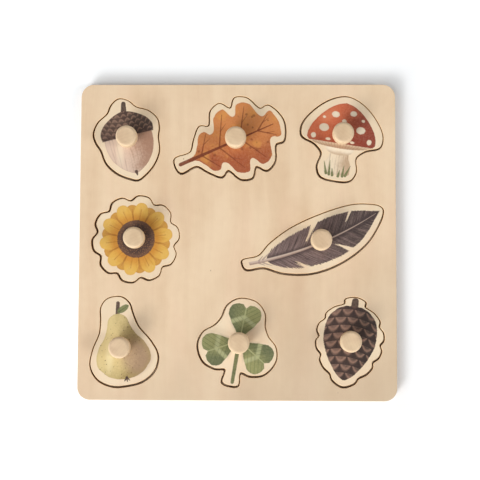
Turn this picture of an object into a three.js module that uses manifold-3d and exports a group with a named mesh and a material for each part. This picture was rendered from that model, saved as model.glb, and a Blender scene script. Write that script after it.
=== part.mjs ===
// Wooden peg puzzle: a square two-layer board with eight lift-out pieces, each lifted by a turned knob.
// Millimetres, +Z up, the board's underside at z = 0 and its middle at the origin.
import * as THREE from "three";
import { mergeVertices } from "three/addons/utils/BufferGeometryUtils.js";
import Module from "manifold-3d";

const wasm = await Module();
wasm.setup();

// Board
const SHEET_THICKNESS = 5; // the frame and the pieces are cut from one sheet
const BACK_THICKNESS = 3;
const RIM = 8.5; // least wood between a recess and the board's edge
const WEB = 9; // least wood between two recesses
const CORNER_RADIUS = 9;
const BOARD_EDGE = 0.6; // rounding of the board's outer edges
const CUT_EDGE = 0.4; // easing along a cut line

// Fit of a piece in its recess
const CLEARANCE = 0.9; // gap all round a piece that lies centred
const SEAT_DRIFT = 0.45; // how far off centre a piece has come to lie

// Knob
const KNOB_DIAMETER = 15;
const KNOB_HEIGHT = 16;
const KNOB_FOOT = 11; // diameter where the knob stands on its piece
const KNOB_GRIP = 5; // height of the straight band under the shoulder
const KNOB_SHOULDER = 2; // radius between that band and the flat top
const TENON_DIAMETER = 6;
const TENON_SHORT = 0.5; // the tenon ends this far above the piece's underside
const GLUE_GAP = 0.15; // all round the tenon in its bore

// Fineness of the facets
const OUTLINE_FACETS = 3; // from each drawn point of an outline to the next
const CORNER_FACETS = 4; // in each half of a corner
const KNOB_FACETS = 18;

// Outlines of the pieces. The shares are pairs of height and half width up one side, of length and width.
const ACORN = {
  length: 60,
  width: 47,
  sideShares: [
    [0.03, 0.2], [0.13, 0.56], [0.28, 0.82], [0.45, 0.89], [0.55, 0.98],
    [0.66, 0.99], [0.78, 0.78], [0.86, 0.44], [0.95, 0.26],
  ],
};
const TOADSTOOL = {
  length: 61,
  width: 59,
  sideShares: [
    [0.03, 0.36], [0.14, 0.47], [0.3, 0.42], [0.4, 0.62],
    [0.47, 0.95], [0.6, 0.98], [0.78, 0.76], [0.94, 0.38],
  ],
};
const PEAR = {
  length: 63,
  width: 48,
  sideShares: [
    [0.02, 0.45], [0.12, 0.85], [0.28, 1], [0.46, 0.84],
    [0.62, 0.58], [0.78, 0.47], [0.9, 0.42], [0.98, 0.24],
  ],
};
const FEATHER = {
  length: 107,
  width: 37,
  bow: 6,
  sideShares: [
    [0.01, 0.18], [0.12, 0.24], [0.22, 0.6], [0.4, 0.95],
    [0.62, 1], [0.82, 0.78], [0.93, 0.44], [0.985, 0.18],
  ],
};
const OAK_LEAF = {
  length: 84,
  width: 59,
  stemLength: 12,
  stemWidth: 11,
  lobes: 3,
  lobeDepth: 6.5,
  fullness: 1.15, // above 1 the widest lobes lie nearer to the tip, below 1 nearer to the stem
};
const PINE_CONE = {
  length: 63,
  width: 47,
  stemLength: 4,
  stemWidth: 14,
  lobes: 4,
  lobeDepth: 2,
  fullness: 0.8,
};
const SUNFLOWER = { width: 61, petals: 10, petalDepth: 3.2 };
const CLOVER = { leaves: 3, leafRadius: 15.5, leafReach: 30, stemRoot: 22, stemLength: 31, stemWidth: 11 };

// A closed smooth loop through a few points.
function smoothLoop(points) {
  const knots = points.map(([x, y]) => new THREE.Vector3(x, y, 0));
  const facets = OUTLINE_FACETS * knots.length;
  const loop = new THREE.CatmullRomCurve3(knots, true).getPoints(facets).slice(0, facets);
  return loop.map(({ x, y }) => new THREE.Vector2(x, y));
}

// A loop up one side of an axis and down the other, from pairs of height and half width above the foot.
function mirroredLoop(length, side) {
  const right = side.map(([height, half]) => [half, height]);
  const left = side.map(([height, half]) => [-half, height]).reverse();
  return smoothLoop([[0, 0], ...right, [0, length], ...left]);
}

// The drawn side and its mirror image, on an axis that may bow sideways.
function drawnOutline({ length, width, sideShares, bow = 0 }) {
  const sized = sideShares.map(([along, across]) => [along * length, (across * width) / 2]);
  const bowed = ({ x, y }) => new THREE.Vector2(x + (4 * bow * y * (length - y)) / length ** 2, y);
  return mirroredLoop(length, sized).map(bowed);
}

// A stem at the foot, then round lobes whose crests follow an egg-shaped outline, the last lobe as the tip.
function lobedOutline({ length, width, stemLength, stemWidth, lobes, lobeDepth, fullness }) {
  const [valley, crestStart, crestEnd, tip] = [0.1, 0.4, 0.8, 0.7]; // places along one lobe
  const station = (lobe, inset) => {
    const along = lobe / (lobes + tip);
    const egg = Math.sin(Math.PI * along ** fullness) ** 0.6;
    const half = Math.max((egg * width) / 2 - inset, stemWidth / 2);
    return [stemLength + along * (length - stemLength), half];
  };
  const side = [[stemWidth / 6, stemWidth / 2]];
  for (let lobe = 0; lobe <= lobes; lobe += 1) {
    side.push(station(lobe + valley, lobeDepth), station(lobe + crestStart, 0));
    if (lobe < lobes) side.push(station(lobe + crestEnd, 0));
  }
  return mirroredLoop(length, side);
}

function petalOutline({ width, petals, petalDepth }) {
  const radius = width / 2;
  const pitch = (2 * Math.PI) / petals;
  const polar = (reach, angle) => [reach * Math.cos(angle), reach * Math.sin(angle)];
  const points = [];
  for (let petal = 0; petal < petals; petal += 1) {
    points.push(polar(radius - petalDepth, (petal - 0.5) * pitch));
    points.push(polar(radius, (petal - 0.2) * pitch));
    points.push(polar(radius, (petal + 0.2) * pitch));
  }
  return smoothLoop(points);
}

// Round leaves about the middle, with a stem in the gap between the two lowest.
function cloverOutline({ leaves, leafRadius, leafReach, stemRoot, stemLength, stemWidth }) {
  const pitch = (2 * Math.PI) / leaves;
  const leafCentre = leafReach - leafRadius;
  const points = [];
  for (let leaf = 0; leaf < leaves; leaf += 1) {
    const middle = -Math.PI / 2 + (leaf + 0.5) * pitch;
    for (const share of [-0.41, -0.26, -0.1, 0.1, 0.26, 0.41]) {
      const sideways = leafCentre * Math.sin(share * pitch);
      const reach = leafCentre * Math.cos(share * pitch) + Math.sqrt(leafRadius ** 2 - sideways ** 2);
      const angle = middle + share * pitch;
      points.push([reach * Math.cos(angle), reach * Math.sin(angle)]);
    }
  }
  const stem = [
    [-stemWidth / 2, -stemRoot],
    [-stemWidth / 2, -stemLength],
    [0, -stemLength - stemWidth / 8],
    [stemWidth / 2, -stemLength],
    [stemWidth / 2, -stemRoot],
  ];
  return smoothLoop([...stem, ...points.slice(1, -1)]);
}

// The outline moved outwards by a distance, corner by corner.
function grown(outline, distance) {
  return outline.map((point, index) => {
    const before = outline.at(index - 1);
    const after = outline[(index + 1) % outline.length];
    const arriving = point.clone().sub(before).normalize();
    const leaving = after.clone().sub(point).normalize();
    const normal = new THREE.Vector2(arriving.y + leaving.y, -arriving.x - leaving.x).normalize();
    const mitre = distance / (normal.x * leaving.y - normal.y * leaving.x);
    return point.clone().addScaledVector(normal, mitre);
  });
}

// The outline with its centre of area at the origin, so that a knob there lifts the piece level.
function balanced(outline) {
  const centre = new THREE.Vector2();
  outline.forEach((point, index) => {
    const after = outline[(index + 1) % outline.length];
    centre.addScaledVector(point.clone().add(after), point.cross(after) / 6);
  });
  centre.divideScalar(THREE.ShapeUtils.area(outline));
  return outline.map((point) => point.clone().sub(centre));
}

// The pieces in rows from the far side of the board to the near side, each row from left to right.
// Tilt turns a piece, lift places it between the foot (0) and the head (1) of its row, and
// drift is the direction in which it has come to lie off centre, all angles in degrees.
const ROWS = [
  [
    { name: "acorn", outline: drawnOutline(ACORN), tilt: 14, lift: 0.4, drift: 70, ink: "#8c6a58" },
    { name: "oak_leaf", outline: lobedOutline(OAK_LEAF), tilt: -66, lift: 1, drift: 100, ink: "#b9703f" },
    { name: "toadstool", outline: drawnOutline(TOADSTOOL), tilt: -9, lift: 0.3, drift: 40, ink: "#b97048" },
  ],
  [
    { name: "sunflower", outline: petalOutline(SUNFLOWER), tilt: 8, lift: 0.5, drift: 20, ink: "#d3a248" },
    { name: "feather", outline: drawnOutline(FEATHER), tilt: -68, lift: 0.5, drift: 80, ink: "#5f4f50" },
  ],
  [
    { name: "pear", outline: drawnOutline(PEAR), tilt: 10, lift: 0.5, drift: 120, ink: "#cbb37f" },
    { name: "clover", outline: cloverOutline(CLOVER), tilt: -12, lift: 0.3, drift: 55, ink: "#7d8153" },
    { name: "pine_cone", outline: lobedOutline(PINE_CONE), tilt: 171, lift: 0.7, drift: 90, ink: "#5a4540" },
  ],
];

const BARE_WOOD = "#e6cbab";
const TURNED_WOOD = "#dfc4a0";

function material(color) {
  return new THREE.MeshStandardMaterial({ color, roughness: 0.6, metalness: 0 });
}

function toSolid(geometry) {
  const bare = new THREE.BufferGeometry().setAttribute("position", geometry.getAttribute("position"));
  if (geometry.index) bare.setIndex(geometry.index);
  const merged = mergeVertices(bare, 1e-4);
  const mesh = new wasm.Mesh({
    numProp: 3,
    vertProperties: merged.getAttribute("position").array,
    triVerts: new Uint32Array(merged.index.array),
  });
  return new wasm.Manifold(mesh);
}

function namedMesh(name, solid, color) {
  const { vertProperties, triVerts } = solid.getMesh();
  const indexed = new THREE.BufferGeometry();
  indexed.setAttribute("position", new THREE.BufferAttribute(vertProperties, 3));
  indexed.setIndex(new THREE.BufferAttribute(triVerts, 1));
  const geometry = indexed.toNonIndexed();
  geometry.computeVertexNormals();
  const mesh = new THREE.Mesh(geometry, material(color));
  mesh.name = name;
  return mesh;
}

// A plate from z = 0 to its thickness with both edges eased inwards. A negative easing flares them instead.
function easedPlate(outline, thickness, easing, segments) {
  const height = Math.abs(easing);
  const geometry = new THREE.ExtrudeGeometry(new THREE.Shape(outline), {
    depth: thickness - 2 * height,
    bevelThickness: height,
    bevelSize: easing,
    bevelOffset: -easing,
    bevelSegments: segments,
  });
  return toSolid(geometry.translate(0, 0, height));
}

function roundedSquare(side, radius) {
  const reach = side / 2 - radius;
  const shape = new THREE.Shape();
  for (let corner = 0; corner < 4; corner += 1) {
    const start = (corner * Math.PI) / 2;
    const x = reach * Math.SQRT2 * Math.cos(start + Math.PI / 4);
    const y = reach * Math.SQRT2 * Math.sin(start + Math.PI / 4);
    shape.absarc(x, y, radius, start, start + Math.PI / 2);
  }
  return shape.getPoints(CORNER_FACETS);
}

// Layout: the board is as large as its fullest row or its stack of rows asks for. Spare room is shared out.
function placed(piece) {
  const turn = THREE.MathUtils.degToRad(piece.tilt);
  const outline = balanced(piece.outline);
  const turned = outline.map((point) => point.clone().rotateAround(new THREE.Vector2(), turn));
  const box = new THREE.Box2().setFromPoints(grown(turned, CLEARANCE));
  return { ...piece, outline, turned, turn, box, size: box.getSize(new THREE.Vector2()) };
}

const total = (values) => values.reduce((sum, value) => sum + value, 0);
const rows = ROWS.map((row) => row.map(placed));
const rowWidths = rows.map((row) => total(row.map((piece) => piece.size.x)));
const rowHeights = rows.map((row) => Math.max(...row.map((piece) => piece.size.y)));
const widest = Math.max(...rows.map((row, index) => rowWidths[index] + (row.length - 1) * WEB));
const highest = total(rowHeights) + (rows.length - 1) * WEB;
const field = Math.max(widest, highest);
const boardSide = field + 2 * RIM;

const rowGap = (field - total(rowHeights)) / (rows.length - 1);
let head = field / 2;
rows.forEach((row, index) => {
  const gap = (field - rowWidths[index]) / (row.length - 1);
  let left = -field / 2;
  for (const piece of row) {
    const spare = rowHeights[index] - piece.size.y;
    const foot = head - rowHeights[index] + piece.lift * spare;
    piece.at = new THREE.Vector2(left, foot).sub(piece.box.min);
    left += piece.size.x + gap;
  }
  head -= rowHeights[index] + rowGap;
});
const pieces = rows.flat();

// Board: the back's lower edges and the frame's upper edges are rounded, and they meet in square edges.
const square = roundedSquare(boardSide, CORNER_RADIUS);
const block = easedPlate(square, BACK_THICKNESS + SHEET_THICKNESS, BOARD_EDGE, 3);
const [upper, lower] = block.splitByPlane([0, 0, 1], BACK_THICKNESS);

// Each recess cutter flares out at its top, from one easing below the frame's face to one easing above it.
const frame = pieces.reduce((wood, piece) => {
  const recess = grown(piece.turned, CLEARANCE).map((point) => point.add(piece.at));
  const depth = 2 * SHEET_THICKNESS;
  const cutter = easedPlate(recess, depth, -2 * CUT_EDGE, 1);
  return wood.subtract(cutter.translate(0, 0, BACK_THICKNESS + SHEET_THICKNESS + CUT_EDGE - depth));
}, upper);

// Knob: turned in one with its tenon, standing on z = 0.
function knobGeometry() {
  const head = KNOB_DIAMETER / 2;
  const foot = KNOB_FOOT / 2;
  const tenon = TENON_DIAMETER / 2;
  const tenonLength = SHEET_THICKNESS - TENON_SHORT;
  const shoulder = KNOB_HEIGHT - KNOB_SHOULDER;
  const flareTop = KNOB_HEIGHT - KNOB_SHOULDER - KNOB_GRIP;
  const flareCurve = new THREE.CubicBezierCurve(
    new THREE.Vector2(foot, 0),
    new THREE.Vector2(foot, flareTop / 2),
    new THREE.Vector2(head, flareTop / 2),
    new THREE.Vector2(head, flareTop),
  );
  const rounding = new THREE.EllipseCurve(
    head - KNOB_SHOULDER, shoulder, KNOB_SHOULDER, KNOB_SHOULDER, 0, Math.PI / 2,
  );
  const profile = [
    new THREE.Vector2(0, -tenonLength),
    new THREE.Vector2(tenon, -tenonLength),
    new THREE.Vector2(tenon, 0),
    ...flareCurve.getPoints(5),
    ...rounding.getPoints(3),
    new THREE.Vector2(0, KNOB_HEIGHT),
  ];
  return new THREE.LatheGeometry(profile, KNOB_FACETS).rotateX(Math.PI / 2);
}

function boreGeometry() {
  const radius = TENON_DIAMETER / 2 + GLUE_GAP;
  const bore = new THREE.CylinderGeometry(radius, radius, 2 * SHEET_THICKNESS, KNOB_FACETS);
  return bore.rotateX(Math.PI / 2).translate(0, 0, SHEET_THICKNESS / 2);
}

const puzzle = new THREE.Group();
puzzle.name = "peg_puzzle";
puzzle.add(namedMesh("board_back", lower, BARE_WOOD));
puzzle.add(namedMesh("board_frame", frame, BARE_WOOD));

for (const piece of pieces) {
  const plate = easedPlate(piece.outline, SHEET_THICKNESS, CUT_EDGE, 1).subtract(toSolid(boreGeometry()));
  const knob = namedMesh(piece.name + "_knob", toSolid(knobGeometry()), TURNED_WOOD);
  knob.position.z = SHEET_THICKNESS;
  const drift = THREE.MathUtils.degToRad(piece.drift);
  const group = new THREE.Group();
  group.name = piece.name;
  group.position.set(
    piece.at.x + SEAT_DRIFT * Math.cos(drift),
    piece.at.y + SEAT_DRIFT * Math.sin(drift),
    BACK_THICKNESS,
  );
  group.rotation.z = piece.turn;
  group.add(namedMesh(piece.name + "_piece", plate, piece.ink), knob);
  puzzle.add(group);
}

export default puzzle;
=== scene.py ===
import math

import bmesh
import bpy
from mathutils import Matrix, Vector


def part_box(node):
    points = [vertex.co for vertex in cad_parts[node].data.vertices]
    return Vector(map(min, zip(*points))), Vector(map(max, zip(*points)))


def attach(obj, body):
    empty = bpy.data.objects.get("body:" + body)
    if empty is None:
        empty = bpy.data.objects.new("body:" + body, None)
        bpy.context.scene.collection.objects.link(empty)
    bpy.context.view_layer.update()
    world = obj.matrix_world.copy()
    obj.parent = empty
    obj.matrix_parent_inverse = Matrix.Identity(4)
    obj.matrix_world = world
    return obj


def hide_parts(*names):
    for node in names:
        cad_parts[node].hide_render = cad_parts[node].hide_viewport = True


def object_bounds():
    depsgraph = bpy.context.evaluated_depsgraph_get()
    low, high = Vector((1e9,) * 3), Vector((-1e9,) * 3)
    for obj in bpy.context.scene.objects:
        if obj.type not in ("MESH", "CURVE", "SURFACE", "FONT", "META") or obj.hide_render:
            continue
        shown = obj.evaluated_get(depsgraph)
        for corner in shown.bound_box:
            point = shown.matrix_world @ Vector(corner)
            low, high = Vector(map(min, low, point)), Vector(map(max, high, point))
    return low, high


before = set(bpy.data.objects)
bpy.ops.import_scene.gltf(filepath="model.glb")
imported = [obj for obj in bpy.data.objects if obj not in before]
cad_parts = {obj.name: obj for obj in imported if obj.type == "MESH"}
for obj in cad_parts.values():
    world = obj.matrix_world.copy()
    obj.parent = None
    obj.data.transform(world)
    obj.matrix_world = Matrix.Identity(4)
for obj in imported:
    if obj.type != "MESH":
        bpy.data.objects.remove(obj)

cad_low, cad_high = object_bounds()

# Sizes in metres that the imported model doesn't give by itself
MM = 0.001
CORNER_RADIUS = 9 * MM
BOARD_EDGE = 0.3 * MM
CUT_EDGE = 0.4 * MM
KNOB_FOOT_RADIUS = 5.5 * MM
KNOB_GRIP = 5 * MM
KNOB_SHOULDER = 2 * MM
TENON_RADIUS = 3 * MM
KNOB_SIDES = 48
FLARE_STEPS = 10
SHOULDER_STEPS = 6

# Shading is smooth where faces meet at less than this many degrees
PLATE_SMOOTHING = 40
KNOB_SMOOTHING = 30

# Limits by which corners and edges are told apart
WELD = 1e-6
STRAIGHT = math.radians(0.3)

# Limits by which faces are told apart: the z of a normal, and how near the outline a face lies
LEVEL = 0.9999
STEEP = 0.8
UPRIGHT = 0.1
OUTER_BAND = 4 * MM

# How far each printed motif is turned on the board, in degrees
TILT = {
    "acorn": 14,
    "oak_leaf": -66,
    "toadstool": -9,
    "sunflower": 8,
    "feather": -68,
    "pear": 10,
    "clover": -12,
    "pine_cone": 171,
}


# Modelling by hand: what is picked, then worked on in edit mode

def pick(piece):
    """Selects one piece and nothing else."""
    bpy.ops.object.select_all(action="DESELECT")
    piece.select_set(True)
    bpy.context.view_layer.objects.active = piece


def start_edit(mode="EDGE"):
    """Goes into edit mode with the whole mesh selected."""
    bpy.ops.object.mode_set(mode="EDIT")
    bpy.ops.mesh.select_mode(type=mode)
    bpy.ops.mesh.select_all(action="SELECT")


def end_edit():
    bpy.ops.object.mode_set(mode="OBJECT")


def select_edges(piece, wanted):
    """Selects the edges that are wanted and no others."""
    mesh = bmesh.from_edit_mesh(piece.data)
    for edge in mesh.edges:
        edge.select_set(False)
    for edge in mesh.edges:
        if wanted(edge):
            edge.select_set(True)
    bmesh.update_edit_mesh(piece.data)


def smooth_outline(node, name):
    """The node's outline at half its height, as a flat curve through the outline's corners."""
    low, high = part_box(node)
    middle = (low.z + high.z) / 2
    piece = bpy.data.objects.new(name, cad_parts[node].data.copy())
    bpy.context.scene.collection.objects.link(piece)
    pick(piece)
    start_edit()
    bpy.ops.mesh.remove_doubles(threshold=WELD)
    bpy.ops.mesh.dissolve_limited(angle_limit=STRAIGHT)
    bpy.ops.mesh.select_all(action="SELECT")
    bpy.ops.mesh.bisect(plane_co=(0, 0, middle), plane_no=(0, 0, 1), clear_inner=True, clear_outer=True)
    end_edit()
    bpy.ops.object.convert(target="CURVE")
    piece = bpy.context.object
    piece.data.materials.clear()
    bpy.ops.object.mode_set(mode="EDIT")
    bpy.ops.curve.select_all(action="SELECT")
    bpy.ops.curve.spline_type_set(type="BEZIER")
    bpy.ops.curve.handle_type_set(type="AUTOMATIC")
    bpy.ops.object.mode_set(mode="OBJECT")
    piece.data.dimensions = "2D"
    piece.data.fill_mode = "BOTH"
    piece.data.resolution_u = 5
    piece.location.z = middle
    return piece


def made_solid(piece):
    """The closed mesh of a flat curve that has been given its thickness."""
    pick(piece)
    bpy.ops.object.convert(target="MESH")
    solid = bpy.context.object
    bpy.ops.object.transform_apply(location=True, rotation=True, scale=True)
    start_edit("VERT")
    bpy.ops.mesh.remove_doubles(threshold=WELD)
    bpy.ops.mesh.normals_make_consistent(inside=False)
    end_edit()
    return solid


def soften(piece, degrees):
    """Smooth shading over gentle angles, with the level faces kept flat."""
    pick(piece)
    bpy.ops.object.shade_smooth_by_angle(angle=math.radians(degrees))
    bpy.ops.object.mode_set(mode="EDIT")
    bpy.ops.mesh.select_mode(type="FACE")
    bpy.ops.mesh.select_all(action="DESELECT")
    mesh = bmesh.from_edit_mesh(piece.data)
    for face in mesh.faces:
        face.select_set(abs(face.normal.z) > LEVEL)
    bmesh.update_edit_mesh(piece.data)
    bpy.ops.mesh.faces_shade_flat()
    end_edit()


def cut_plate(node, name):
    """A plate with the node's outline and a small round along every edge."""
    low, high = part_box(node)
    curve = smooth_outline(node, name)
    curve.data.bevel_depth = CUT_EDGE
    curve.data.bevel_resolution = 2
    curve.data.offset = -CUT_EDGE
    curve.data.extrude = (high.z - low.z) / 2 - CUT_EDGE
    plate = made_solid(curve)
    soften(plate, PLATE_SMOOTHING)
    return plate


def rounded_block(node, name, rounded_height):
    """A square block with round corners, and its outer edges rounded at one height."""
    low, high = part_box(node)
    bpy.ops.object.select_all(action="DESELECT")
    bpy.ops.mesh.primitive_cube_add(size=1, location=(low + high) / 2, scale=high - low)
    block = bpy.context.object
    block.name = name
    bpy.ops.object.transform_apply(location=True, rotation=True, scale=True)
    start_edit()
    select_edges(block, lambda edge: abs(edge.verts[0].co.z - edge.verts[1].co.z) > WELD)
    bpy.ops.mesh.bevel(offset=CORNER_RADIUS, segments=12, affect="EDGES")
    select_edges(block, lambda edge: all(abs(v.co.z - rounded_height) < WELD for v in edge.verts))
    bpy.ops.mesh.bevel(offset=BOARD_EDGE, segments=4, affect="EDGES")
    end_edit()
    return block


def furthest_right(line):
    return max(point.co.x for point in line.bezier_points)


def recess_cutters(node):
    """Solids of all the recesses, taller than the sheet: its outlines without the outermost one."""
    low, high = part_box(node)
    curve = smooth_outline(node, "recess_cutters")
    bpy.ops.object.mode_set(mode="EDIT")
    bpy.ops.curve.select_all(action="DESELECT")
    outermost = max(curve.data.splines, key=furthest_right)
    for point in outermost.bezier_points:
        point.select_control_point = True
        point.select_left_handle = True
        point.select_right_handle = True
    bpy.ops.curve.delete(type="VERT")
    bpy.ops.object.mode_set(mode="OBJECT")
    curve.data.extrude = high.z - low.z
    return made_solid(curve)


def is_recess_rim(edge):
    """Whether a level face and an upright wall meet at the edge."""
    level = [face for face in edge.link_faces if face.normal.z > LEVEL]
    upright = [face for face in edge.link_faces if abs(face.normal.z) < UPRIGHT]
    return len(level) == 1 and len(upright) == 1


def cut_frame():
    """The board's top sheet with its recesses cut through and their rims eased."""
    sheet = rounded_block("board_frame", "puzzle_frame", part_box("board_frame")[1].z)
    cutters = recess_cutters("board_frame")
    pick(sheet)
    cut = sheet.modifiers.new("recesses", "BOOLEAN")
    cut.operation = "DIFFERENCE"
    cut.solver = "EXACT"
    cut.object = cutters
    bpy.ops.object.modifier_apply(modifier=cut.name)
    bpy.data.objects.remove(cutters)
    start_edit()
    select_edges(sheet, is_recess_rim)
    bpy.ops.mesh.bevel(offset=CUT_EDGE, segments=3, affect="EDGES", clamp_overlap=True)
    end_edit()
    soften(sheet, PLATE_SMOOTHING)
    return sheet


def knob_profile(height, head_radius, tenon_length):
    """Pairs of height and radius up the knob, from the foot of its tenon to the rim of its flat top."""
    flare_top = height - KNOB_SHOULDER - KNOB_GRIP
    profile = [(-tenon_length, TENON_RADIUS), (0, TENON_RADIUS), (0, KNOB_FOOT_RADIUS)]
    for step in range(1, FLARE_STEPS + 1):
        share = step / FLARE_STEPS
        swell = share * share * (3 - 2 * share)
        profile.append((flare_top * share, KNOB_FOOT_RADIUS + (head_radius - KNOB_FOOT_RADIUS) * swell))
    for step in range(SHOULDER_STEPS + 1):
        angle = math.radians(90 * step / SHOULDER_STEPS)
        reach = head_radius - KNOB_SHOULDER + KNOB_SHOULDER * math.cos(angle)
        profile.append((height - KNOB_SHOULDER + KNOB_SHOULDER * math.sin(angle), reach))
    return profile


def turned_knob(node, seat):
    """A knob turned about the Z axis, ring by ring upwards, that stands on z = 0."""
    low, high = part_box(node)
    profile = knob_profile(high.z - seat, (high.x - low.x) / 2, seat - low.z)
    height, radius = profile[0]
    bpy.ops.object.select_all(action="DESELECT")
    bpy.ops.mesh.primitive_circle_add(
        vertices=KNOB_SIDES, radius=radius, fill_type="NGON", location=(0, 0, height))
    knob = bpy.context.object
    knob.name = "turned_knob"
    bpy.ops.object.transform_apply(location=True, rotation=True, scale=True)
    start_edit("FACE")
    for next_height, next_radius in profile[1:]:
        bpy.ops.mesh.extrude_region_move(TRANSFORM_OT_translate={"value": (0, 0, next_height - height)})
        grow = next_radius / radius
        bpy.ops.transform.resize(value=(grow, grow, 1), center_override=(0, 0, 0))
        height, radius = next_height, next_radius
    bpy.ops.mesh.select_all(action="SELECT")
    bpy.ops.mesh.remove_doubles(threshold=WELD)
    bpy.ops.mesh.normals_make_consistent(inside=False)
    end_edit()
    soften(knob, KNOB_SMOOTHING)
    return knob


def set_knob(pattern, node, name, seat):
    """A copy of the pattern knob, with a mesh of its own, in the place of the node."""
    low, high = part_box(node)
    knob = bpy.data.objects.new(name, pattern.data.copy())
    bpy.context.scene.collection.objects.link(knob)
    knob.location = ((low.x + high.x) / 2, (low.y + high.y) / 2, seat)
    pick(knob)
    bpy.ops.object.transform_apply(location=True, rotation=True, scale=True)
    return knob


# Colours and shader nodes

def srgb(red, green, blue):
    """A colour in levels from 0 to 255, turned into the linear values that a shader takes."""
    def linear(level):
        share = level / 255
        return share / 12.92 if share <= 0.04045 else ((share + 0.055) / 1.055) ** 2.4
    return (linear(red), linear(green), linear(blue), 1)


class Signal:
    """What comes out of a shader node. Signals add, multiply and so on as numbers do."""

    def __init__(self, socket):
        self.socket = socket

    def __add__(self, other):
        return math_node("ADD", self, other)

    def __sub__(self, other):
        return math_node("SUBTRACT", self, other)

    def __rsub__(self, other):
        return math_node("SUBTRACT", other, self)

    def __mul__(self, other):
        return math_node("MULTIPLY", self, other)

    def __truediv__(self, other):
        return math_node("DIVIDE", self, other)

    def __pow__(self, other):
        return math_node("POWER", self, other)

    def __neg__(self):
        return math_node("MULTIPLY", self, -1.0)

    def __abs__(self):
        return math_node("ABSOLUTE", self)


def feed(socket, value):
    """Joins a signal to a node's input, or sets the input to a fixed value."""
    if isinstance(value, Signal):
        socket.id_data.links.new(value.socket, socket)
    else:
        socket.default_value = value


def new_node(kind, inputs, **settings):
    """A node beside those that its inputs come from. Inputs go by name or number."""
    tree = next(value.socket.id_data for value in inputs.values() if isinstance(value, Signal))
    node = tree.nodes.new("ShaderNode" + kind)
    for name, value in settings.items():
        setattr(node, name, value)
    for name, value in inputs.items():
        feed(node.inputs[name], value)
    return node


def math_node(operation, *values):
    return Signal(new_node("Math", dict(enumerate(values)), operation=operation).outputs[0])


def least(first, *others):
    for other in others:
        first = math_node("MINIMUM", first, other)
    return first


def most(first, *others):
    for other in others:
        first = math_node("MAXIMUM", first, other)
    return first


def sine(angle):
    return math_node("SINE", angle)


def cosine(angle):
    return math_node("COSINE", angle)


def bearing(y, x):
    """The angle from +X, in radians, at which a place lies."""
    return math_node("ARCTAN2", y, x)


def whole(value):
    return math_node("FLOOR", value)


def fraction(value):
    return math_node("FRACT", value)


def ease(value, low, high):
    """0 at low and 1 at high, smooth between them and level beyond them."""
    return Signal(new_node(
        "MapRange", {0: value, 1: low, 2: high}, interpolation_type="SMOOTHSTEP").outputs[0])


def drawn_curve(value, points):
    """A smooth curve through points of value and height."""
    node = new_node("FloatCurve", {"Value": value})
    curve = node.mapping.curves[0]
    first, *between, last = points
    curve.points[0].location = first
    curve.points[1].location = last
    for along, up in between:
        curve.points.new(along, up)
    for point in curve.points:
        point.handle_type = "AUTO_CLAMPED"
    node.mapping.update()
    return Signal(node.outputs[0])


def split(vector):
    """The x, y and z of a vector."""
    return [Signal(socket) for socket in new_node("SeparateXYZ", {0: vector}).outputs]


def join(x, y, z=0.0):
    return Signal(new_node("CombineXYZ", {0: x, 1: y, 2: z}).outputs[0])


def vector_math(operation, *values):
    node = new_node("VectorMath", dict(enumerate(values)), operation=operation)
    return Signal(node.outputs["Value" if operation in ("LENGTH", "DOT_PRODUCT") else "Vector"])


def length(vector):
    return vector_math("LENGTH", vector)


def dot(first, second):
    return vector_math("DOT_PRODUCT", first, second)


def stretch(vector, scale, shift=(0, 0, 0)):
    return Signal(new_node("Mapping", {"Vector": vector, "Scale": scale, "Location": shift}).outputs[0])


def in_millimetres(place):
    return stretch(place, (1 / MM, 1 / MM, 1 / MM))


def settled(place, centre, turn, unit):
    """A place as seen from a centre, turned with it and measured in units of its own."""
    return Signal(new_node(
        "Mapping", {"Vector": place, "Location": centre, "Rotation": turn, "Scale": unit},
        vector_type="TEXTURE").outputs[0])


def noise(vector, scale=1.0, detail=2.0, roughness=0.5):
    inputs = {"Vector": vector, "Scale": scale, "Detail": detail, "Roughness": roughness}
    return Signal(new_node("TexNoise", inputs).outputs[0])


def grain(position, across, along, detail=2.0, shift=(0, 0, 0)):
    """Noise drawn out along Y, with a number of waves to the millimetre across it and along it."""
    return noise(stretch(position, (across, along, across), shift), detail=detail)


def cells(vector, scale=1.0, randomness=1.0):
    """How far a place lies from the nearest of many scattered points."""
    inputs = {"Vector": vector, "Scale": scale, "Randomness": randomness}
    return Signal(new_node("TexVoronoi", inputs).outputs["Distance"])


def mix(share, first, second):
    node = new_node("Mix", {0: share, 6: first, 7: second}, data_type="RGBA")
    return Signal(node.outputs[2])


def use(group, **values):
    """Places a node group with its inputs given by name, and hands back its outputs by name."""
    inputs = {name.replace("_", " ").capitalize(): value for name, value in values.items()}
    node = new_node("Group", inputs, node_tree=group)
    return {socket.name: Signal(socket) for socket in node.outputs}


def new_group(name, inputs, outputs):
    """An empty node group, the signals that it is given and the sockets for what it makes."""
    tree = bpy.data.node_groups.new(name, "ShaderNodeTree")
    kinds = {"vector": "NodeSocketVector", "color": "NodeSocketColor", "value": "NodeSocketFloat"}
    for label, kind in inputs.items():
        tree.interface.new_socket(label, in_out="INPUT", socket_type=kinds[kind])
    for label, kind in outputs.items():
        tree.interface.new_socket(label, in_out="OUTPUT", socket_type=kinds[kind])
    sources = tree.nodes.new("NodeGroupInput").outputs
    given = {label: Signal(sources[label]) for label in inputs}
    made = tree.nodes.new("NodeGroupOutput").inputs
    return tree, given, made


# Shared finishes

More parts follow.
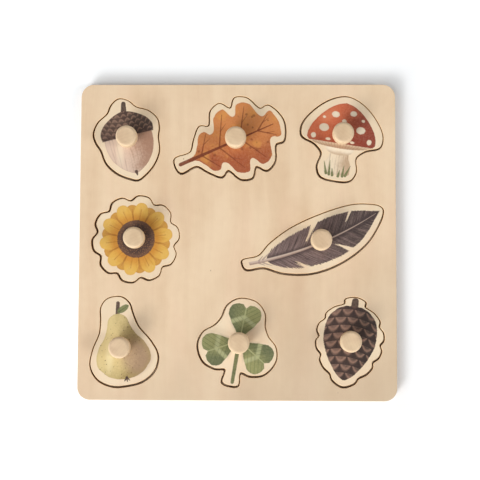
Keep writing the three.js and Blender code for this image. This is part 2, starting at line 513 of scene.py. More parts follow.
BLUSH = srgb(238, 196, 168)
SPECK = srgb(128, 88, 55)
BOARD_PALE = srgb(244, 219, 186)
BOARD_DEEP = srgb(222, 190, 154)
BOARD_GREY = srgb(198, 178, 152)
PIECE_PALE = srgb(244, 224, 193)
PIECE_DEEP = srgb(230, 204, 170)
RIM_PALE = srgb(248, 228, 196)
RIM_DEEP = srgb(230, 202, 164)
BROWNED_PALE = srgb(242, 196, 138)
BROWNED_DEEP = srgb(214, 162, 106)
SANDED_PALE = srgb(232, 204, 170)
SANDED_DEEP = srgb(190, 152, 112)
TOAST_PALE = srgb(186, 124, 66)
TOAST_DEEP = srgb(128, 78, 36)
BURNT = srgb(86, 48, 18)
KNOB_PALE = srgb(246, 221, 186)
KNOB_DEEP = srgb(218, 188, 148)
END_GRAIN = srgb(198, 166, 132)
END_DOT = srgb(176, 140, 102)

SHEEN = 0.25
RELIEF = 0.35


def wood_face_group():
    """Plain-sawn pale veneer with its grain along Y, from a position in millimetres."""
    tree, given, made = new_group(
        "Wood face",
        {"Position": "vector", "Pale": "color", "Deep": "color", "Figure": "value"},
        {"Color": "color", "Height": "value", "Roughness": "value"},
    )
    position = given["Position"]
    sway = (noise(position, scale=0.012, detail=1.0) - 0.5) * 14.0
    x, y, z = split(position)
    swayed = join(x + sway, y, z)
    bands = grain(swayed, 0.07, 0.006)
    streaks = grain(swayed, 0.5, 0.014, detail=3.0)
    fibres = grain(swayed, 2.4, 0.05, detail=3.0)
    cloud = grain(position, 0.035, 0.018, detail=3.0)
    pores = ease(grain(swayed, 3.4, 0.16, detail=1.0), 0.66, 0.76)
    mottle = noise(position, scale=0.16, detail=4.0)
    layers = ((bands, 1.2), (streaks, 0.28), (fibres, 0.3), (cloud, 1.9), (mottle, 0.5))
    figure = pores * 0.25
    for layer, strength in layers:
        figure = figure + (layer - 0.5) * strength
    share = figure * given["Figure"] + 0.42
    color = mix(ease(share, 0.0, 1.0), given["Pale"], given["Deep"])
    blush = ease(grain(position, 0.05, 0.012, shift=(3, 8, 0)), 0.42, 0.7)
    color = mix(blush * 0.16, color, BLUSH)
    speck_place = cells(stretch(position, (0.05, 0.035, 0.05)))
    speck_pick = ease(grain(position, 0.03, 0.03, shift=(7, 3, 0)), 0.52, 0.56)
    specks = (1.0 - ease(speck_place, 0.012, 0.03)) * speck_pick
    color = mix(specks * 0.55, color, SPECK)
    feed(made["Color"], color)
    feed(made["Height"], fibres - pores * 0.6)
    feed(made["Roughness"], fibres * 0.16 + 0.46 + pores * 0.1)
    return tree


def ink_group():
    """One layer of matt print over what is under it. Edge is how far inside its outline a place lies."""
    tree, given, made = new_group(
        "Print ink",
        {"Position": "vector", "Under": "color", "Ink": "color", "Shade": "color", "Edge": "value",
         "Tone": "value", "Cover": "value", "Softness": "value", "Raggedness": "value"},
        {"Color": "color"},
    )
    fine = noise(given["Position"], scale=0.8, detail=4.0, roughness=0.6)
    wash = noise(given["Position"], scale=0.11, detail=3.0)
    inside = given["Edge"] + (fine - 0.5) * given["Raggedness"]
    mask = ease(inside, -given["Softness"], given["Softness"])
    tone = given["Tone"] + (wash - 0.5) * 0.7 + (fine - 0.5) * 0.5
    color = mix(ease(tone, 0.0, 1.0), given["Ink"], given["Shade"])
    pooled = (1.0 - ease(inside, 0.0, 1.5)) * 0.22
    color = mix(pooled, color, given["Shade"])
    cover = least(fine * 0.2 + 0.86, 1.0) * given["Cover"]
    feed(made["Color"], mix(mask * cover, given["Under"], color))
    return tree


def oval_group():
    """An oval with a half width and a half height, all in millimetres."""
    tree, given, made = new_group(
        "Oval",
        {"Position": "vector", "Centre": "vector", "Turn": "value", "Radii": "vector"},
        {"Edge": "value"},
    )
    flat = vector_math("MULTIPLY", given["Position"], (1, 1, 0))
    reach = length(settled(flat, given["Centre"], join(0.0, 0.0, given["Turn"]), given["Radii"]))
    half_width, half_height = split(given["Radii"])[:2]
    feed(made["Edge"], (1.0 - reach) * least(half_width, half_height))
    return tree


def stroke_group():
    """A straight brush stroke with a half width at its root and at its tip, all in millimetres."""
    tree, given, made = new_group(
        "Brush stroke",
        {"Position": "vector", "Root": "vector", "Tip": "vector",
         "Root half": "value", "Tip half": "value"},
        {"Edge": "value"},
    )
    flat = vector_math("MULTIPLY", given["Position"], (1, 1, 0))
    run = vector_math("SUBTRACT", given["Tip"], given["Root"])
    reach = vector_math("SUBTRACT", flat, given["Root"])
    share = most(least(dot(reach, run) / dot(run, run), 1.0), 0.0)
    nearest = Signal(new_node("VectorMath", {0: run, "Scale": share}, operation="SCALE").outputs[0])
    off = length(vector_math("SUBTRACT", reach, nearest))
    half = given["Root half"] + share * (given["Tip half"] - given["Root half"])
    feed(made["Edge"], half - off)
    return tree


WOOD_FACE = wood_face_group()
PRINT_INK = ink_group()
OVAL = oval_group()
STROKE = stroke_group()


def new_material(name):
    """A matt material, its shader and the place on the piece in metres."""
    material = bpy.data.materials.new(name)
    material.use_nodes = True
    shader = material.node_tree.nodes["Principled BSDF"]
    shader.inputs["Specular IOR Level"].default_value = SHEEN
    place = Signal(material.node_tree.nodes.new("ShaderNodeTexCoord").outputs["Object"])
    return material, shader, place


def finish_surface(shader, color, roughness, height, depth):
    """Gives a shader its colour, its roughness and a fine relief."""
    feed(shader.inputs["Base Color"], color)
    feed(shader.inputs["Roughness"], roughness)
    bump = new_node("Bump", {"Strength": RELIEF, "Distance": depth, "Height": height})
    feed(shader.inputs["Normal"], Signal(bump.outputs[0]))


def veneer_material(name, pale, deep, figure):
    """Plain veneer. The grain shows more as figure rises."""
    material, shader, place = new_material(name)
    wood = use(WOOD_FACE, position=in_millimetres(place), pale=pale, deep=deep, figure=figure)
    finish_surface(shader, wood["Color"], wood["Roughness"], wood["Height"], 0.05 * MM)
    return material


def board_material(name):
    """The board's veneer, which turns a little greyer towards its near edge and near right corner."""
    material, shader, place = new_material(name)
    position = in_millimetres(place)
    wood = use(WOOD_FACE, position=position, pale=BOARD_PALE, deep=BOARD_DEEP, figure=0.5)
    patches = (grain(position, 0.03, 0.015, detail=3.0) - 0.5) * 90.0
    towards_corner = dot(position, (0.3, -0.95, 0)) + patches
    greyed = ease(towards_corner, 0.0, 150.0) * 0.55
    color = mix(greyed, wood["Color"], BOARD_GREY)
    finish_surface(shader, color, wood["Roughness"], wood["Height"], 0.05 * MM)
    return material


def ply_edge_material(name, pale, deep, scorch):
    """Sawn edge of plywood: thin layers one over another, toasted by the cutter if scorch is above 0."""
    material, shader, place = new_material(name)
    position = in_millimetres(place)
    z = split(position)[2]
    waver = noise(stretch(position, (0.08, 0.08, 0.3)))
    layers = ease(abs(fraction(z * 0.42 + waver * 0.25) - 0.5), 0.2, 0.3)
    fibres = noise(stretch(position, (1.2, 1.2, 5.0)), detail=4.0)
    tone = layers * 0.55 + fibres * 0.6
    color = mix(ease(tone, 0.1, 1.1), pale, deep)
    if scorch > 0:
        burn = noise(stretch(position, (0.15, 0.15, 0.4)), detail=3.0)
        color = mix(ease(burn, 0.1, 0.6) * scorch, color, BURNT)
    finish_surface(shader, color, fibres * 0.2 + 0.6, fibres, 0.08 * MM)
    return material


def turned_material(name):
    """Turned wood: upright grain on the sides, and darker, uneven end grain on the flat top."""
    material, shader, place = new_material(name)
    position = in_millimetres(place)
    x, y, z = split(position)
    upright = join(x + y * 0.6, z, y)
    wood = use(WOOD_FACE, position=upright, pale=KNOB_PALE, deep=KNOB_DEEP, figure=0.25)
    from_pith = length(join(x + 31.0, (y + 140.0) * 0.8))
    rings = sine(from_pith * 3.4 + noise(position, scale=0.3) * 2.5)
    patches = ease(noise(position, scale=0.14), 0.3, 0.7)
    from_knob_to_knob = ease(grain(position, 0.025, 0.025, shift=(5, 2, 0)), 0.3, 0.7)
    darkness = patches * 0.3 + from_knob_to_knob * 0.2 + ease(rings, -0.6, 1.0) * 0.06 + 0.12
    knob_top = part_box("acorn_knob")[1].z / MM
    on_top = ease(z, knob_top - 0.7, knob_top - 0.05)
    color = mix(on_top * darkness, wood["Color"], END_GRAIN)
    dots = ease(noise(position, scale=2.2), 0.58, 0.72)
    color = mix(dots * 0.14, color, END_DOT)
    finish_surface(shader, color, wood["Roughness"], wood["Height"], 0.04 * MM)
    return material


# Prints, each drawn in millimetres about its knob with the motif upright

class Print:
    """The printed face of one piece, painted layer over layer."""

    def __init__(self, motif):
        self.material, self.shader, place = new_material(motif + " print")
        low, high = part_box(motif + "_knob")
        centre = ((low.x + high.x) / 2, (low.y + high.y) / 2, high.z)
        self.position = settled(place, centre, (0, 0, math.radians(TILT[motif])), (MM, MM, MM))
        self.x, self.y = split(self.position)[:2]
        self.wood = use(
            WOOD_FACE, position=in_millimetres(place), pale=PIECE_PALE, deep=PIECE_DEEP, figure=0.55)
        self.color = self.wood["Color"]

    def paint(self, edge, colours, tone=0.4, cover=1.0, softness=0.25, raggedness=0.5):
        """Lays an ink, which turns to its shade as the tone rises, wherever edge is above 0."""
        ink, shade = colours
        layer = use(
            PRINT_INK, position=self.position, under=self.color, ink=ink, shade=shade, edge=edge,
            tone=tone, cover=cover, softness=softness, raggedness=raggedness)
        self.color = layer["Color"]

    def oval(self, x, y, width, height, turn=0.0):
        """How far inside an oval a place lies. The turn is in degrees."""
        return use(
            OVAL, position=self.position, centre=(x, y, 0), turn=math.radians(turn),
            radii=(width / 2, height / 2, 1))["Edge"]

    def stroke(self, root, tip, root_half, tip_half, position=None):
        """How far inside a stroke a place lies."""
        return use(
            STROKE, position=position or self.position, root=(*root, 0), tip=(*tip, 0),
            root_half=root_half, tip_half=tip_half)["Edge"]

    def body(self, foot, head, half, points, along=None, across=None):
        """A shape drawn by its half widths, as shares of half, at shares of the way from foot to head."""
        along = along or self.y
        across = across or self.x
        width = drawn_curve((along - foot) / (head - foot), points) * half
        return least(width - abs(across), along - foot, head - along)

    def scale_rows(self, row_height, scale_width, arch):
        """Overlapping scales in staggered rows: how near a place is to its scale's lip and its side."""
        row = (self.y - self.x * self.x * arch) / row_height
        side = fraction(self.x / scale_width + whole(row) * 0.5) - 0.5
        return fraction(row) + side * side * 3.2, abs(side)

    def finish(self):
        wood = self.wood
        finish_surface(self.shader, self.color, wood["Roughness"], wood["Height"], 0.05 * MM)
        return self.material


def inks(light, shade=None):
    """A print colour and the one that it turns to in shade, each in levels from 0 to 255."""
    return srgb(*light), srgb(*(shade or light))


CREAM = inks((240, 226, 200))
BARK = inks((94, 70, 60), (60, 44, 38))
BARK_SHADOW = inks((60, 44, 38))
MOSS = inks((140, 141, 90), (84, 92, 62))
MOSS_SHADOW = inks((84, 92, 62))
NUT = inks((222, 196, 176), (166, 126, 104))
NUT_STREAK = inks((150, 108, 86), (130, 90, 72))
CUP = inks((100, 76, 66), (60, 44, 38))
CUP_LIGHT = inks((158, 126, 106), (126, 96, 80))
OAK_ORANGE = inks((204, 128, 70), (160, 78, 42))
OAK_GOLD = inks((222, 160, 84), (206, 136, 70))
OAK_RIB = inks((132, 66, 38), (108, 52, 32))
STEM = inks((238, 220, 192), (196, 166, 136))
STEM_LINE = inks((170, 138, 110), (150, 118, 92))
SKIRT = inks((244, 230, 206), (206, 180, 150))
GILL = inks((226, 200, 168), (178, 142, 112))
GILL_LINE = inks((150, 112, 88))
CAP_RED = inks((200, 100, 64), (138, 56, 40))
CAP_SHINE = inks((224, 144, 104), (214, 126, 88))
CAP_SPOT = inks((240, 226, 200), (214, 188, 162))
BACK_PETAL = inks((206, 150, 62), (170, 108, 44))
FRONT_PETAL = inks((226, 180, 86), (204, 140, 56))
PETAL_SEAM = inks((166, 108, 44), (150, 92, 40))
PETAL_CREASE = inks((190, 130, 54), (176, 112, 46))
PETAL_RAY = inks((196, 132, 52), (176, 112, 44))
SEED_HEAD = inks((96, 70, 58), (58, 46, 46))
SEED = inks((150, 108, 74), (112, 80, 62))
VANE = inks((112, 92, 90), (66, 52, 52))
PALE_BARB = inks((150, 124, 118), (130, 104, 100))
DARK_HAIR = inks((40, 30, 31))
PALE_HAIR = inks((172, 148, 140))
VANE_GROOVE = inks((58, 45, 45), (48, 38, 38))
QUILL = inks((214, 192, 174), (166, 138, 124))
DOWN = inks((176, 152, 144), (140, 116, 110))
PEAR_GREEN = inks((220, 198, 140), (166, 142, 88))
PEAR_BLUSH = inks((176, 140, 122), (147, 118, 112))
PEAR_SHINE = inks((240, 226, 180), (236, 220, 172))
PEAR_FRECKLE = inks((140, 112, 74), (120, 92, 66))
CLOVER_STALK = inks((120, 122, 76), (84, 92, 62))
CLOVER_LEAF = inks((148, 149, 96), (92, 100, 66))
CLOVER_HEART = inks((92, 100, 66), (84, 92, 62))
CLOVER_BAND = inks((190, 190, 146), (170, 172, 124))
CLOVER_RIB = inks((184, 184, 136), (166, 168, 118))
CONE_SCALE = inks((112, 84, 74), (58, 42, 38))
CONE_GAP = inks((46, 32, 28), (40, 28, 26))
CONE_LIGHT = inks((168, 132, 112), (140, 106, 90))


def acorn_print():
    art = Print("acorn")
    nut = art.body(-25.5, 7, 17.5, [
        (0, 0), (0.06, 0.24), (0.25, 0.66), (0.5, 0.92), (0.78, 1), (1, 0.97)])
    art.paint(nut, NUT, tone=ease(art.x, -12.0, 18.0))
    streaks = ease(noise(stretch(art.position, (0.9, 0.05, 1)), detail=3.0), 0.5, 0.75)
    art.paint(nut, NUT_STREAK, cover=streaks * 0.45)
    shine = art.oval(-8, -7, 5, 19, turn=-8)
    art.paint(shine, CREAM, cover=0.55, softness=1.6)
    point = art.stroke((0, -24), (0.2, -26.6), 1.2, 0.4)
    art.paint(point, BARK)
    stalk = art.stroke((0.3, 17), (2.2, 26), 2.3, 1.6)
    art.paint(stalk, BARK, tone=0.6)
    cup = art.body(2.5, 21, 19.2, [
        (0, 0.97), (0.2, 1), (0.5, 0.88), (0.75, 0.6), (0.92, 0.28), (1, 0)])
    art.paint(cup, CUP, tone=ease(art.x, -16.0, 20.0))
    lip = art.scale_rows(row_height=3.3, scale_width=4.6, arch=0.014)[0]
    lit = ease(lip, 0.15, 0.5) * ease(lip, 0.8, 0.6)
    art.paint(cup, CUP_LIGHT, cover=lit * 0.7, raggedness=1.2)
    art.paint(cup, BARK_SHADOW, cover=ease(lip, 0.7, 1.0) * 0.6)
    brim = least(cup, 4.4 - art.y)
    art.paint(brim, BARK_SHADOW, cover=0.7, softness=0.7)
    return art.finish()


def oak_leaf_print():
    art = Print("oak_leaf")
    mirrored = join(abs(art.x), art.y)
    leaf = art.body(-37, 33.6, 25, [
        (0, 0.05), (0.06, 0.07), (0.14, 0.3), (0.25, 0.6), (0.315, 0.45), (0.41, 0.86), (0.515, 0.98),
        (0.595, 0.66), (0.69, 0.95), (0.795, 0.82), (0.875, 0.33), (0.95, 0.4), (0.985, 0.22), (1, 0)])
    art.paint(leaf, OAK_ORANGE, tone=ease(art.x + art.y * -0.3, -16.0, 26.0), raggedness=0.9)
    gold = ease(noise(art.position, scale=0.09, detail=3.0), 0.52, 0.7)
    art.paint(leaf, OAK_GOLD, cover=gold * 0.7, softness=2.0)
    veins = (((0, -27), (13, -18)), ((0, -13), (21, -2)), ((0, 3), (20, 15)), ((0, 17), (8, 28)))
    for root, tip in veins:
        art.paint(art.stroke(root, tip, 0.6, 0.2, mirrored), OAK_RIB, cover=0.8, raggedness=0.3)
        middle = ((root[0] + tip[0]) / 2, (root[1] + tip[1]) / 2)
        fork = (middle[0] + 0.16 * (tip[0] - root[0]), middle[1] + 5.5)
        art.paint(art.stroke(middle, fork, 0.35, 0.12, mirrored), OAK_RIB, cover=0.7, raggedness=0.2)
    midrib = art.stroke((0, -43.4), (0, 29), 1.35, 0.3)
    art.paint(midrib, OAK_RIB, tone=0.6, raggedness=0.3)
    spots = (0.16 - cells(art.position, scale=0.16)) * 5.0
    art.paint(least(leaf, spots), OAK_RIB, cover=0.6)
    return art.finish()


def toadstool_print():
    art = Print("toadstool")
    stem = art.body(-28.3, -4, 9.6, [(0, 0.72), (0.08, 0.96), (0.3, 0.95), (0.6, 0.72), (1, 0.74)])
    art.paint(stem, STEM, tone=ease(art.x, -6.0, 11.0))
    lines = ease(noise(stretch(art.position, (0.9, 0.05, 1)), detail=3.0), 0.52, 0.7)
    art.paint(stem, STEM_LINE, cover=lines * 0.5)
    skirt = least(art.oval(0, -9.5, 20, 9), -7.0 - art.y)
    art.paint(skirt, SKIRT, tone=ease(art.y, -9.0, -14.5))
    gills = art.oval(0, -4.6, 46, 9)
    art.paint(gills, GILL, tone=ease(art.y, -4.0, -9.0))
    fan = abs(sine(art.x / (art.y * 0.05 + 1.0)))
    art.paint(gills, GILL_LINE, cover=ease(fan, 0.5, 0.1) * 0.5)
    cap = art.body(-5.5, 24.2, 24.6, [
        (0, 0.93), (0.08, 1), (0.26, 0.97), (0.5, 0.82), (0.75, 0.56), (0.93, 0.26), (1, 0)])
    art.paint(cap, CAP_RED, tone=ease(art.x, -14.0, 26.0) + ease(art.y, 4.0, -6.0) * 0.5)
    shine = art.oval(-12, 13, 13, 7, turn=48)
    art.paint(shine, CAP_SHINE, cover=0.5, softness=2.2)
    spots = (
        (-13.5, 4.5, 7, 5.6), (12.8, 6, 6.4, 5.2), (-6.6, 15, 5.6, 4.4), (6, 17.2, 4.8, 3.8),
        (-20.2, -2.2, 3.6, 4), (20, -1.6, 3.4, 4), (0.2, 11, 3.4, 2.6), (13.6, 13, 2.4, 2),
        (-14.4, 12, 2.2, 1.8), (8, -3.6, 3.2, 1.8), (-9.4, -3.4, 3.4, 2),
    )
    for x, y, width, height in spots:
        art.paint(art.oval(x, y, width, height), CAP_SPOT, tone=0.2, raggedness=0.9)
    blades = (
        ((-7.2, -28), (-9.8, -19.5)), ((-5, -28.6), (-5.6, -18.5)), ((6.6, -28), (9.4, -20.4)),
        ((4.6, -28.6), (4.8, -21)), ((-2.6, -28.8), (-3.4, -24)), ((1.6, -29), (2.2, -24.6)),
    )
    for root, tip in blades:
        art.paint(art.stroke(root, tip, 1.0, 0.15), MOSS, raggedness=0.3)
    return art.finish()


def sunflower_print():
    art = Print("sunflower")
    petal_count = 10
    radius = length(join(art.x, art.y))
    turn = bearing(art.y, art.x) * (petal_count / (2 * math.pi))
    petal_width = radius * (2 * math.pi / petal_count)

    def petals(offset, tip, notch, petal_inks):
        off_middle = abs(fraction(turn + (petal_count + 0.5 + offset)) - 0.5)
        edge = tip - (off_middle * 2.0) ** 2.4 * notch - radius
        art.paint(edge, petal_inks, tone=ease(radius, 25.0, 11.0), raggedness=0.6)
        seam = least(edge, 0.55 - (0.5 - off_middle) * petal_width)
        art.paint(seam, PETAL_SEAM, cover=0.8)
        crease = least(edge, 0.3 - off_middle * petal_width, 21.5 - radius)
        art.paint(crease, PETAL_CREASE, cover=0.7)

    petals(0.5, 24.6, 7.5, BACK_PETAL)
    petals(0.0, 26.2, 9.5, FRONT_PETAL)
    rays = ease(noise(join(turn * 6.0, radius * 0.04)), 0.5, 0.72)
    ring = least(22.5 - radius, radius - 12.0)
    art.paint(ring, PETAL_RAY, cover=rays * 0.45, softness=2.0)
    head = 13.4 - radius
    art.paint(head, SEED_HEAD, tone=ease(radius, 13.0, 8.5), raggedness=1.6)
    seeds = ease(cells(art.position, scale=0.72, randomness=0.7), 0.45, 0.15)
    art.paint(head, SEED, cover=seeds * 0.75)
    return art.finish()


def feather_print():
    art = Print("feather")
    share = (art.y + 57.4) / 107.0
    bow = share * (1.0 - share) * 24.0
    across = art.x - bow + 4.75
    off = abs(across)
    straight = join(across, art.y)
    vane = art.body(-41, 47, 14.6, [
        (0, 0), (0.05, 0.36), (0.16, 0.68), (0.33, 0.92), (0.55, 1), (0.72, 0.86), (0.85, 0.56),
        (0.93, 0.26), (1, 0)], across=across)
    splits = (((-16, 2), (-5, -9)), ((16, 21), (5, 9)), ((-16, 33), (-6, 22)), ((16, -12), (7, -22)))
    for root, tip in splits:
        vane = least(vane, -art.stroke(root, tip, 1.9, 0.1, straight))
    barb = art.y - off * 0.95
    coarse = noise(join(barb * 0.45, across * 0.05))
    fine = noise(join(barb * 1.7, across * 0.09), detail=3.0)
    fray = (1.04 - share) * 6.0
    vane = vane + (fine - 0.55) * fray
    art.paint(vane, VANE, tone=ease(art.y, -30.0, 46.0), raggedness=0.8)
    art.paint(vane, PALE_BARB, cover=ease(coarse, 0.5, 0.68) * 0.55)
    art.paint(vane, DARK_HAIR, cover=ease(fine, 0.5, 0.64) * 0.75)
    art.paint(vane, PALE_HAIR, cover=ease(fine, 0.44, 0.3) * 0.5)
    groove = least(vane, 2.6 - off)
    art.paint(groove, VANE_GROOVE, cover=0.6, softness=1.2)
    quill = least((1.02 - share) * 1.25 - off, art.y + 53.0, 44.0 - art.y)
    art.paint(quill, QUILL, tone=ease(across, -1.0, 1.2), raggedness=0.2)
    wisps = (
        ((-1, -43), (-5, -36)), ((1, -44), (5, -38)),
        ((-0.6, -46), (-3.6, -42)), ((0.8, -46.5), (3.4, -43)),
    )
    for root, tip in wisps:
        art.paint(art.stroke(root, tip, 0.6, 0.15, straight), DOWN, cover=0.8)
    return art.finish()


def pear_print():
    art = Print("pear")
    stalk = art.stroke((0.2, 20), (2.4, 31), 1.6, 1.3)
    art.paint(stalk, BARK)
    leaf = art.oval(5.2, 26.4, 9.2, 4.4, turn=24)
    art.paint(leaf, MOSS, tone=0.35)
    midrib = art.stroke((1.8, 24.8), (8.6, 27.8), 0.3, 0.12)
    art.paint(midrib, MOSS_SHADOW, raggedness=0.2)
    pear = art.body(-22.8, 23.6, 19.4, [
        (0, 0.1), (0.03, 0.42), (0.14, 0.8), (0.31, 1), (0.5, 0.87), (0.67, 0.57), (0.8, 0.43),
        (0.93, 0.33), (1, 0.1)])
    art.paint(pear, PEAR_GREEN, tone=ease(art.x, -14.0, 24.0) + ease(art.y, -8.0, -26.0) * 0.6)
    blush = least(pear, art.oval(9, -8, 20, 26, turn=12))
    art.paint(blush, PEAR_BLUSH, cover=0.6, softness=5.0)
    shine = art.oval(-9.6, -5, 5, 19, turn=-10)
    art.paint(shine, PEAR_SHINE, cover=0.6, softness=1.8)
    freckles = least(pear, (0.17 - cells(art.position, scale=0.42)) * 2.0)
    art.paint(freckles, PEAR_FRECKLE, cover=0.75, softness=0.1)
    for tip in ((-1.8, -24), (0, -24.6), (1.8, -24)):
        art.paint(art.stroke((0, -21.8), tip, 0.8, 0.3), BARK, raggedness=0.3)
    return art.finish()


def clover_print():
    art = Print("clover")
    leaf_count = 3
    y = art.y - 1.2
    radius = length(join(art.x, y))
    share = bearing(y, art.x) * (leaf_count / (2 * math.pi))
    turn = (fraction(share + (leaf_count - 0.25)) - 0.5) * (2 * math.pi / leaf_count)
    along = radius * cosine(turn)
    across = radius * sine(turn)
    off = abs(across)
    stalk = art.stroke((0, -2), (1.2, -28.2), 1.5, 1.2)
    art.paint(stalk, CLOVER_STALK, raggedness=0.3)
    leaf = art.body(1.5, 26, 11.6, [
        (0, 0.02), (0.25, 0.42), (0.5, 0.8), (0.72, 1), (0.88, 0.92), (0.96, 0.72), (1, 0.5)],
        along=along, across=across)
    notch = off - (along - 23.4)
    leaf = least(leaf, notch)
    art.paint(leaf, CLOVER_LEAF, tone=ease(across, -12.0, 14.0), raggedness=0.7)
    heart = least(leaf, 10.0 - along)
    art.paint(heart, CLOVER_HEART, cover=0.6, softness=3.0)
    bent = along + off * 0.55
    band = least(leaf, 1.7 - abs(bent - 17.0))
    art.paint(band, CLOVER_BAND, cover=0.75, softness=0.8, raggedness=1.2)
    rows = fraction((along - off * 0.8) * 0.3)
    veins = least(leaf, (0.07 - abs(rows - 0.5)) * 4.0)
    art.paint(veins, MOSS_SHADOW, cover=0.55, raggedness=0.2)
    midrib = least(leaf, 0.4 - off)
    art.paint(midrib, CLOVER_RIB, cover=0.8)
    return art.finish()


def pine_cone_print():
    art = Print("pine_cone")
    stalk = art.stroke((0, -28.4), (0, -20), 2.4, 2.8)
    art.paint(stalk, BARK, tone=0.6)
    cone = art.body(-24.5, 27.6, 18.6, [
        (0, 0.32), (0.07, 0.66), (0.24, 0.96), (0.42, 1), (0.64, 0.84), (0.84, 0.52), (0.95, 0.26),
        (1, 0.05)])
    lip, side = art.scale_rows(row_height=5.6, scale_width=8.4, arch=0.012)
    art.paint(cone, CONE_SCALE, tone=ease(art.x, 14.0, -18.0), raggedness=1.4)
    art.paint(cone, CONE_GAP, cover=ease(lip, 0.62, 0.98) * 0.85)
    lit = ease(lip, 0.2, 0.5) * ease(lip, 0.72, 0.55)
    art.paint(cone, CONE_LIGHT, cover=lit * 0.65, raggedness=1.0)
    art.paint(cone, CONE_GAP, cover=ease(side, 0.4, 0.5) * 0.5)
    return art.finish()


PRINTS = {
    "acorn": acorn_print,
    "oak_leaf": oak_leaf_print,
    "toadstool": toadstool_print,
    "sunflower": sunflower_print,
    "feather": feather_print,
    "pear": pear_print,
    "clover": clover_print,
    "pine_cone": pine_cone_print,
}


# Putting the puzzle together

def dress(piece, materials, choose):
    """Gives a piece its materials, and each of its faces the one that choose numbers."""
    for material in materials:
        piece.data.materials.append(material)
    for face in piece.data.polygons:
        face.material_index = choose(face)


def enter(piece, node, body):
    """Puts a finished piece in the place of a packed one."""
    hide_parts(node)
    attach(piece, body)


def cut_face(face):
    """Which material a sawn edge takes: 2 on its wall, 3 on the steep part of its rim, 4 on the rest."""
    if abs(face.normal.z) < UPRIGHT:
        return 2
    return 3 if abs(face.normal.z) < STEEP else 4


def frame_face(face):
    """Which material a face of the board takes: 0 veneer, 1 outer edge, or those of a sawn edge."""
    if max(abs(face.center.x), abs(face.center.y)) > cad_high.x - OUTER_BAND:
        return 1 if abs(face.normal.z) < UPRIGHT else 0
    return 0 if abs(face.normal.z) > LEVEL else cut_face(face)


def plate_face(face):
    """Which material a face of a piece takes: 0 print, 1 underside, or those of a sawn edge."""
    if face.normal.z > LEVEL:
        return 0
    return 1 if face.normal.z < -UPRIGHT else cut_face(face)


board_veneer = board_material("board veneer")
piece_back = veneer_material("piece underside", PIECE_PALE, PIECE_DEEP, 0.6)
outer_edge = ply_edge_material("sanded plywood edge", SANDED_PALE, SANDED_DEEP, 0.0)
toasted_edge = ply_edge_material("toasted cut edge", TOAST_PALE, TOAST_DEEP, 0.5)
browned_rim = veneer_material("browned rim", BROWNED_PALE, BROWNED_DEEP, 0.5)
eased_rim = veneer_material("eased rim", RIM_PALE, RIM_DEEP, 0.5)
sawn_edge = [toasted_edge, browned_rim, eased_rim]
turned_wood = turned_material("turned wood")

puzzle_frame = cut_frame()
dress(puzzle_frame, [board_veneer, outer_edge, *sawn_edge], frame_face)
enter(puzzle_frame, "board_frame", "board")

puzzle_back = rounded_block("board_back", "puzzle_back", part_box("board_back")[0].z)
soften(puzzle_back, PLATE_SMOOTHING)
dress(puzzle_back, [board_veneer, outer_edge], frame_face)
enter(puzzle_back, "board_back", "board")

# All the pieces are as thick as the acorn, and all the knobs are alike
piece_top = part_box("acorn_piece")[1].z
pattern_knob = turned_knob("acorn_knob", piece_top)
dress(pattern_knob, [turned_wood], lambda face: 0)
for motif, draw in PRINTS.items():
    plate = cut_plate(motif + "_piece", motif + "_plate")
    dress(plate, [draw(), piece_back, *sawn_edge], plate_face)
    enter(plate, motif + "_piece", motif)
    knob = set_knob(pattern_knob, motif + "_knob", motif + "_peg", piece_top)
    enter(knob, motif + "_knob", motif)
bpy.data.objects.remove(pattern_knob)


# Stage: a white floor that keeps the shadow, a window and a lamp at the near left, a lamp at the right

def shown(tree):
    """1 for what the camera sees, also in a reflection or through glass, and 0 for other rays."""
    rays = tree.nodes.new("ShaderNodeLightPath").outputs
    kinds = ("Is Camera Ray", "Is Glossy Ray", "Is Transmission Ray")
    return most(*(Signal(rays[kind]) for kind in kinds))


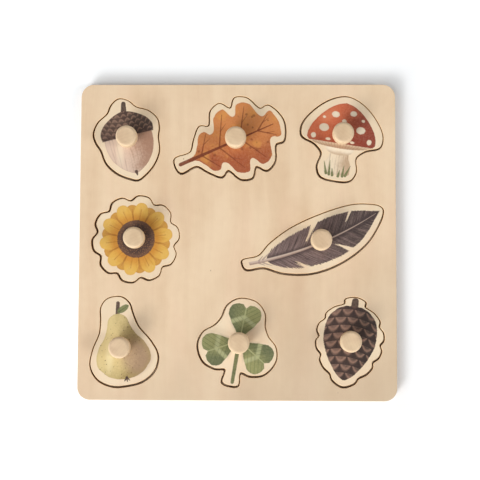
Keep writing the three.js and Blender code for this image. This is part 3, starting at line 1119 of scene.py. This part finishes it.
def white_floor():
    """A floor that glows where the camera sees it: weakly under the shadow, with painted light on its
    left and just behind the board, and to full white far off.
    """
    bpy.ops.object.select_all(action="DESELECT")
    bpy.ops.mesh.primitive_plane_add(size=6)
    floor = bpy.context.object
    floor.name = "floor"
    material, shader, place = new_material("white floor")
    shader.inputs["Base Color"].default_value = (0.97, 0.97, 0.97, 1)
    shader.inputs["Roughness"].default_value = 0.9
    shader.inputs["Specular IOR Level"].default_value = 0.0
    # The glow is a little cool, against the warm light that the board throws on the floor
    shader.inputs["Emission Color"].default_value = (0.8, 0.92, 1, 1)
    x, y = split(place)[:2]
    # Painted light: extra glow on the left hides the shadow that the side light casts there, and a little
    # glow behind the board lightens the shadow there
    painted_light_left = ease(dot(place, (-1, -0.1, 0)), 0.085, 0.125)
    painted_light_behind = ease(y, 0.1, 0.115)
    far_off = ease(most(abs(x), abs(y)), 0.114, 0.22)
    glow = painted_light_left * 0.25 + painted_light_behind * 0.035 + far_off + 0.05
    feed(shader.inputs["Emission Strength"], shown(material.node_tree) * glow)
    floor.data.materials.append(material)


def soft_lamp(name, direction, elevation, size, power, distance=4):
    """A square lamp that faces the board's middle, from a direction in degrees round from +X."""
    turn, rise = math.radians(direction), math.radians(elevation)
    reach = Vector((math.cos(rise) * math.cos(turn), math.cos(rise) * math.sin(turn), math.sin(rise)))
    light = bpy.data.lights.new(name, "AREA")
    light.size = size
    light.energy = power
    lamp = bpy.data.objects.new(name, light)
    lamp.location = reach * distance
    lamp.rotation_euler = (-reach).to_track_quat("-Z", "Y").to_euler()
    bpy.context.scene.collection.objects.link(lamp)


def pale_world(light):
    """A world that lights the board weakly and is white wherever it is seen."""
    world = bpy.data.worlds.new("studio")
    world.use_nodes = True
    backdrop = world.node_tree.nodes["Background"]
    backdrop.inputs["Color"].default_value = (1, 1, 1, 1)
    feed(backdrop.inputs["Strength"], shown(world.node_tree) * (1 - light) + light)
    bpy.context.scene.world = world


def overhead_camera(tilt, sway, roll, distance, aim, lens):
    """A camera above the board, tilted to its near edge, swayed to its right and rolled, in degrees."""
    view = bpy.data.cameras.new("camera")
    view.sensor_width = 36
    view.lens = lens
    camera = bpy.data.objects.new("camera", view)
    camera.rotation_euler = [math.radians(angle) for angle in (tilt, sway, roll)]
    camera.location = Vector(aim) + camera.rotation_euler.to_matrix() @ Vector((0, 0, distance))
    bpy.context.scene.collection.objects.link(camera)
    bpy.context.scene.camera = camera


white_floor()
soft_lamp("window", direction=228, elevation=45, size=3.4, power=99)
soft_lamp("main light", direction=232, elevation=31, size=1.1, power=66)
soft_lamp("side light", direction=-11, elevation=36, size=1.0, power=49)
pale_world(light=0.2)
bpy.context.scene.view_settings.view_transform = "Standard"
aim_point = (1.9 * MM, 0.64 * MM, cad_high.z / 3)
overhead_camera(tilt=4.1, sway=1.0, roll=0.2, distance=0.72, aim=aim_point, lens=75.8)
